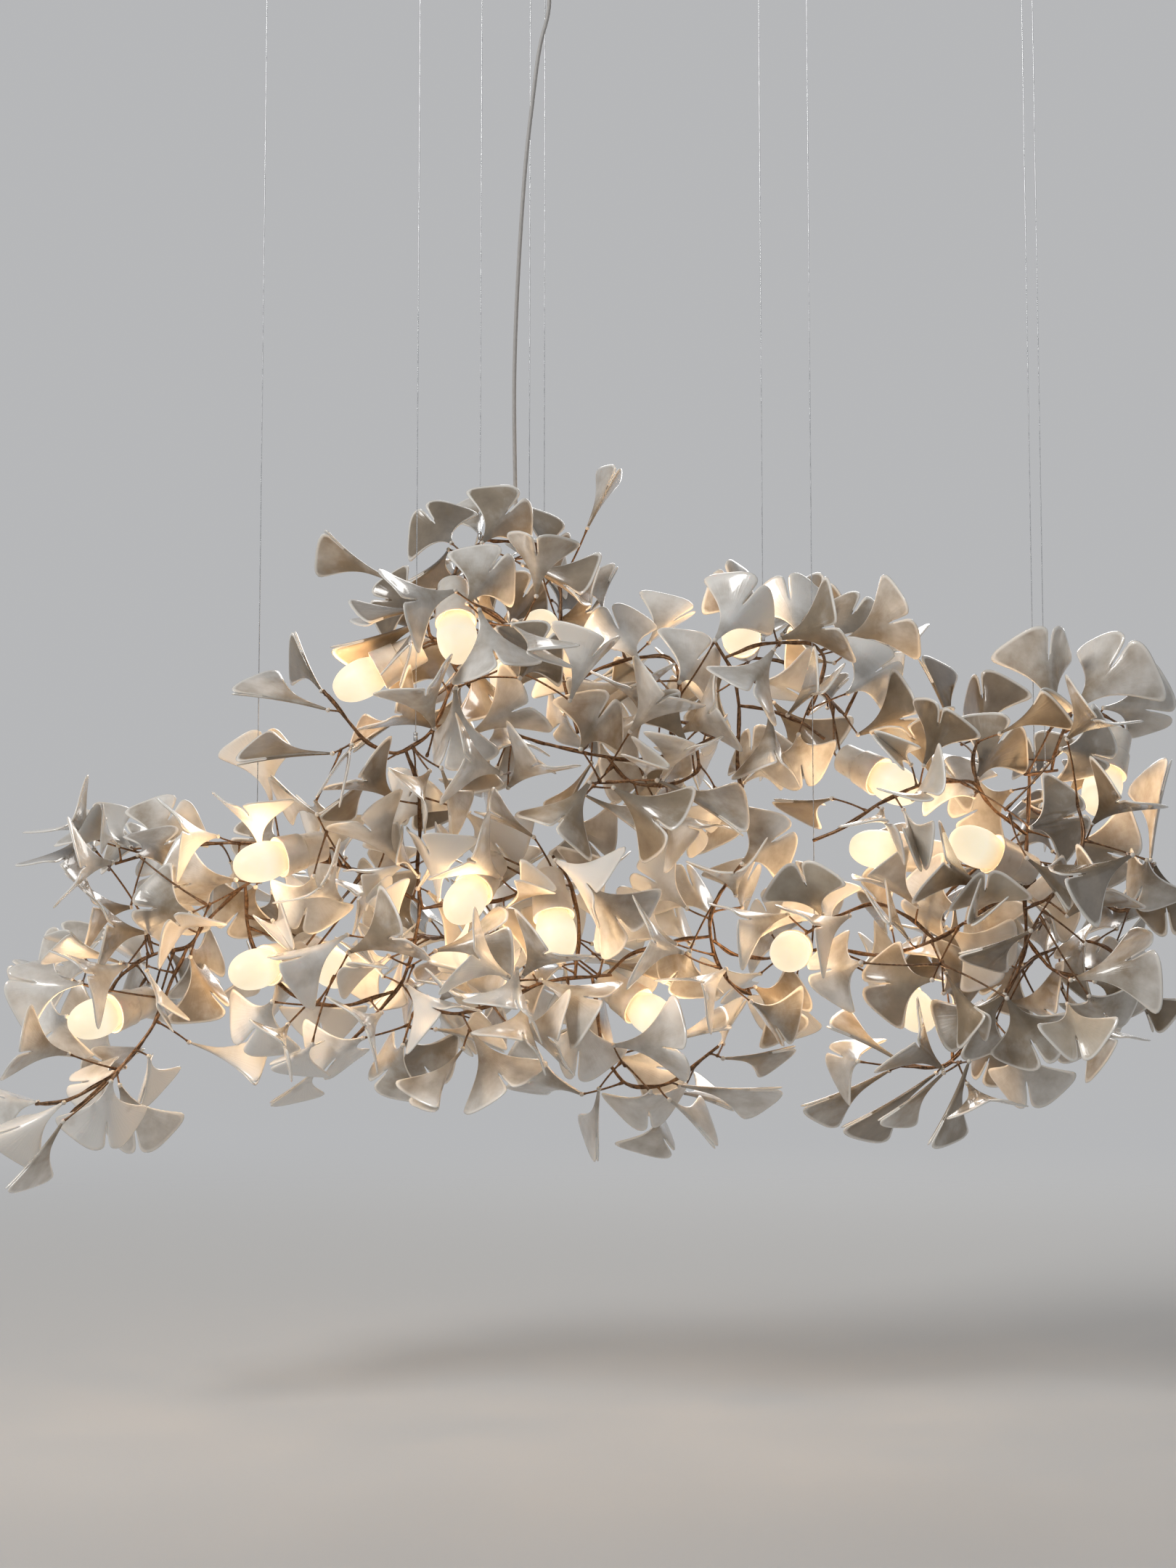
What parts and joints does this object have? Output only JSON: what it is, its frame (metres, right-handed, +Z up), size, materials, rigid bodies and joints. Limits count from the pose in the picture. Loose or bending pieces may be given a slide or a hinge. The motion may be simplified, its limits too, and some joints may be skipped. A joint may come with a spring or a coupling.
{
  "type": "chandelier",
  "caption": "Wide hanging cluster of fan-shaped porcelain leaves on bronze branches, with frosted globe lamps in porcelain cups, hung on thin wires.",
  "frame": {"origin": "on the ceiling, at the middle of the two fixing holes of the power cord's canopy bracket", "axes": "+Z up, +X along the length of the cluster to the right of the reference view, +Y away from its viewer"},
  "size_m": [1.4595, 0.5021, 1.4899],
  "materials": {
    "leaf_porcelain": "white glaze, satin, slightly translucent",
    "cup_porcelain": "white glaze, gloss",
    "frosted_bulb": "frosted, lit warm white",
    "bronze": "dark patinated bronze, satin",
    "socket_plastic": "matte",
    "cord_sheath": "matte, pale grey sheath",
    "canopy_plastic": "matte",
    "canopy_paint": "satin",
    "steel": "satin"
  },
  "bodies": {
    "frame": {"arch_branches": "bronze", "arch_leaves": "leaf_porcelain", "arch_twigs": "bronze", "bracket_screws": "steel", "canopy_bracket": "steel", "ceiling_anchors": "steel", "cord_grip": "canopy_plastic", "cord_sleeve": "bronze", "crown_branches": "bronze", "crown_leaves": "leaf_porcelain", "crown_twigs": "bronze", "lamp_cups": "cup_porcelain", "lamp_stems": "bronze", "lower_left_branches": "bronze", "lower_left_leaves": "leaf_porcelain", "lower_left_twigs": "bronze", "lower_middle_branches": "bronze", "lower_middle_leaves": "leaf_porcelain", "lower_middle_twigs": "bronze", "middle_branches": "bronze", "middle_leaves": "leaf_porcelain", "middle_twigs": "bronze", "power_cord": "cord_sheath", "right_branches": "bronze", "right_leaves": "leaf_porcelain", "right_twigs": "bronze", "socket_inserts": "socket_plastic", "spine_branches": "bronze", "spine_leaves": "leaf_porcelain", "spine_twigs": "bronze", "suspension_wires": "steel", "tail_branches": "bronze", "tail_leaves": "leaf_porcelain", "tail_twigs": "bronze", "terminal_block": "canopy_plastic", "wire_ferrules": "steel", "wire_grippers": "steel"},
    "bulb_01": {"bulb_01": "frosted_bulb"},
    "bulb_02": {"bulb_02": "frosted_bulb"},
    "bulb_03": {"bulb_03": "frosted_bulb"},
    "bulb_04": {"bulb_04": "frosted_bulb"},
    "bulb_05": {"bulb_05": "frosted_bulb"},
    "bulb_06": {"bulb_06": "frosted_bulb"},
    "bulb_07": {"bulb_07": "frosted_bulb"},
    "bulb_08": {"bulb_08": "frosted_bulb"},
    "bulb_09": {"bulb_09": "frosted_bulb"},
    "bulb_10": {"bulb_10": "frosted_bulb"},
    "bulb_11": {"bulb_11": "frosted_bulb"},
    "bulb_12": {"bulb_12": "frosted_bulb"},
    "bulb_13": {"bulb_13": "frosted_bulb"},
    "bulb_14": {"bulb_14": "frosted_bulb"},
    "bulb_15": {"bulb_15": "frosted_bulb"},
    "bulb_16": {"bulb_16": "frosted_bulb"},
    "bulb_17": {"bulb_17": "frosted_bulb"},
    "bulb_18": {"bulb_18": "frosted_bulb"},
    "canopy_cover": {"canopy_cover": "canopy_paint", "cord_collar": "canopy_plastic"}
  },
  "joints": [
    {"name": "bulb_01_withdraw", "type": "slide", "parent": "frame", "child": "bulb_01", "axis": [-0.877, -0.0358, -0.4792], "range_m": [0, 0.026]},
    {"name": "bulb_02_withdraw", "type": "slide", "parent": "frame", "child": "bulb_02", "axis": [0.0918, -0.5235, -0.8471], "range_m": [0, 0.026]},
    {"name": "bulb_03_withdraw", "type": "slide", "parent": "frame", "child": "bulb_03", "axis": [0.1111, -0.9919, 0.0617], "range_m": [0, 0.026]},
    {"name": "bulb_04_withdraw", "type": "slide", "parent": "frame", "child": "bulb_04", "axis": [-0.0573, -0.5644, -0.8235], "range_m": [0, 0.026]},
    {"name": "bulb_05_withdraw", "type": "slide", "parent": "frame", "child": "bulb_05", "axis": [-0.1413, -0.9892, 0.0379], "range_m": [0, 0.026]},
    {"name": "bulb_06_withdraw", "type": "slide", "parent": "frame", "child": "bulb_06", "axis": [-0.8067, -0.5285, -0.2643], "range_m": [0, 0.026]},
    {"name": "bulb_07_withdraw", "type": "slide", "parent": "frame", "child": "bulb_07", "axis": [-0.5539, -0.8056, -0.2103], "range_m": [0, 0.026]},
    {"name": "bulb_08_withdraw", "type": "slide", "parent": "frame", "child": "bulb_08", "axis": [-0.6435, -0.7213, -0.2562], "range_m": [0, 0.026]},
    {"name": "bulb_09_withdraw", "type": "slide", "parent": "frame", "child": "bulb_09", "axis": [0.5103, -0.7911, -0.3373], "range_m": [0, 0.026]},
    {"name": "bulb_10_withdraw", "type": "slide", "parent": "frame", "child": "bulb_10", "axis": [-0.3684, -0.7251, -0.5818], "range_m": [0, 0.026]},
    {"name": "bulb_11_withdraw", "type": "slide", "parent": "frame", "child": "bulb_11", "axis": [0.138, -0.4512, -0.8817], "range_m": [0, 0.026]},
    {"name": "bulb_12_withdraw", "type": "slide", "parent": "frame", "child": "bulb_12", "axis": [0.7056, -0.4998, -0.5023], "range_m": [0, 0.026]},
    {"name": "bulb_13_withdraw", "type": "slide", "parent": "frame", "child": "bulb_13", "axis": [-0.2026, -0.972, -0.1188], "range_m": [0, 0.026]},
    {"name": "bulb_14_withdraw", "type": "slide", "parent": "frame", "child": "bulb_14", "axis": [-0.9873, 0.1016, 0.1223], "range_m": [0, 0.026]},
    {"name": "bulb_15_withdraw", "type": "slide", "parent": "frame", "child": "bulb_15", "axis": [-0.856, -0.3981, 0.3298], "range_m": [0, 0.026]},
    {"name": "bulb_16_withdraw", "type": "slide", "parent": "frame", "child": "bulb_16", "axis": [-0.3258, -0.3798, -0.8658], "range_m": [0, 0.026]},
    {"name": "bulb_17_withdraw", "type": "slide", "parent": "frame", "child": "bulb_17", "axis": [0.3984, -0.7679, -0.5017], "range_m": [0, 0.026]},
    {"name": "bulb_18_withdraw", "type": "slide", "parent": "frame", "child": "bulb_18", "axis": [0.6783, -0.583, -0.4472], "range_m": [0, 0.026]},
    {"name": "canopy_cover_drop", "type": "slide", "parent": "frame", "child": "canopy_cover", "axis": [0, 0, -1], "range_m": [0, 0.028]}
  ]
}
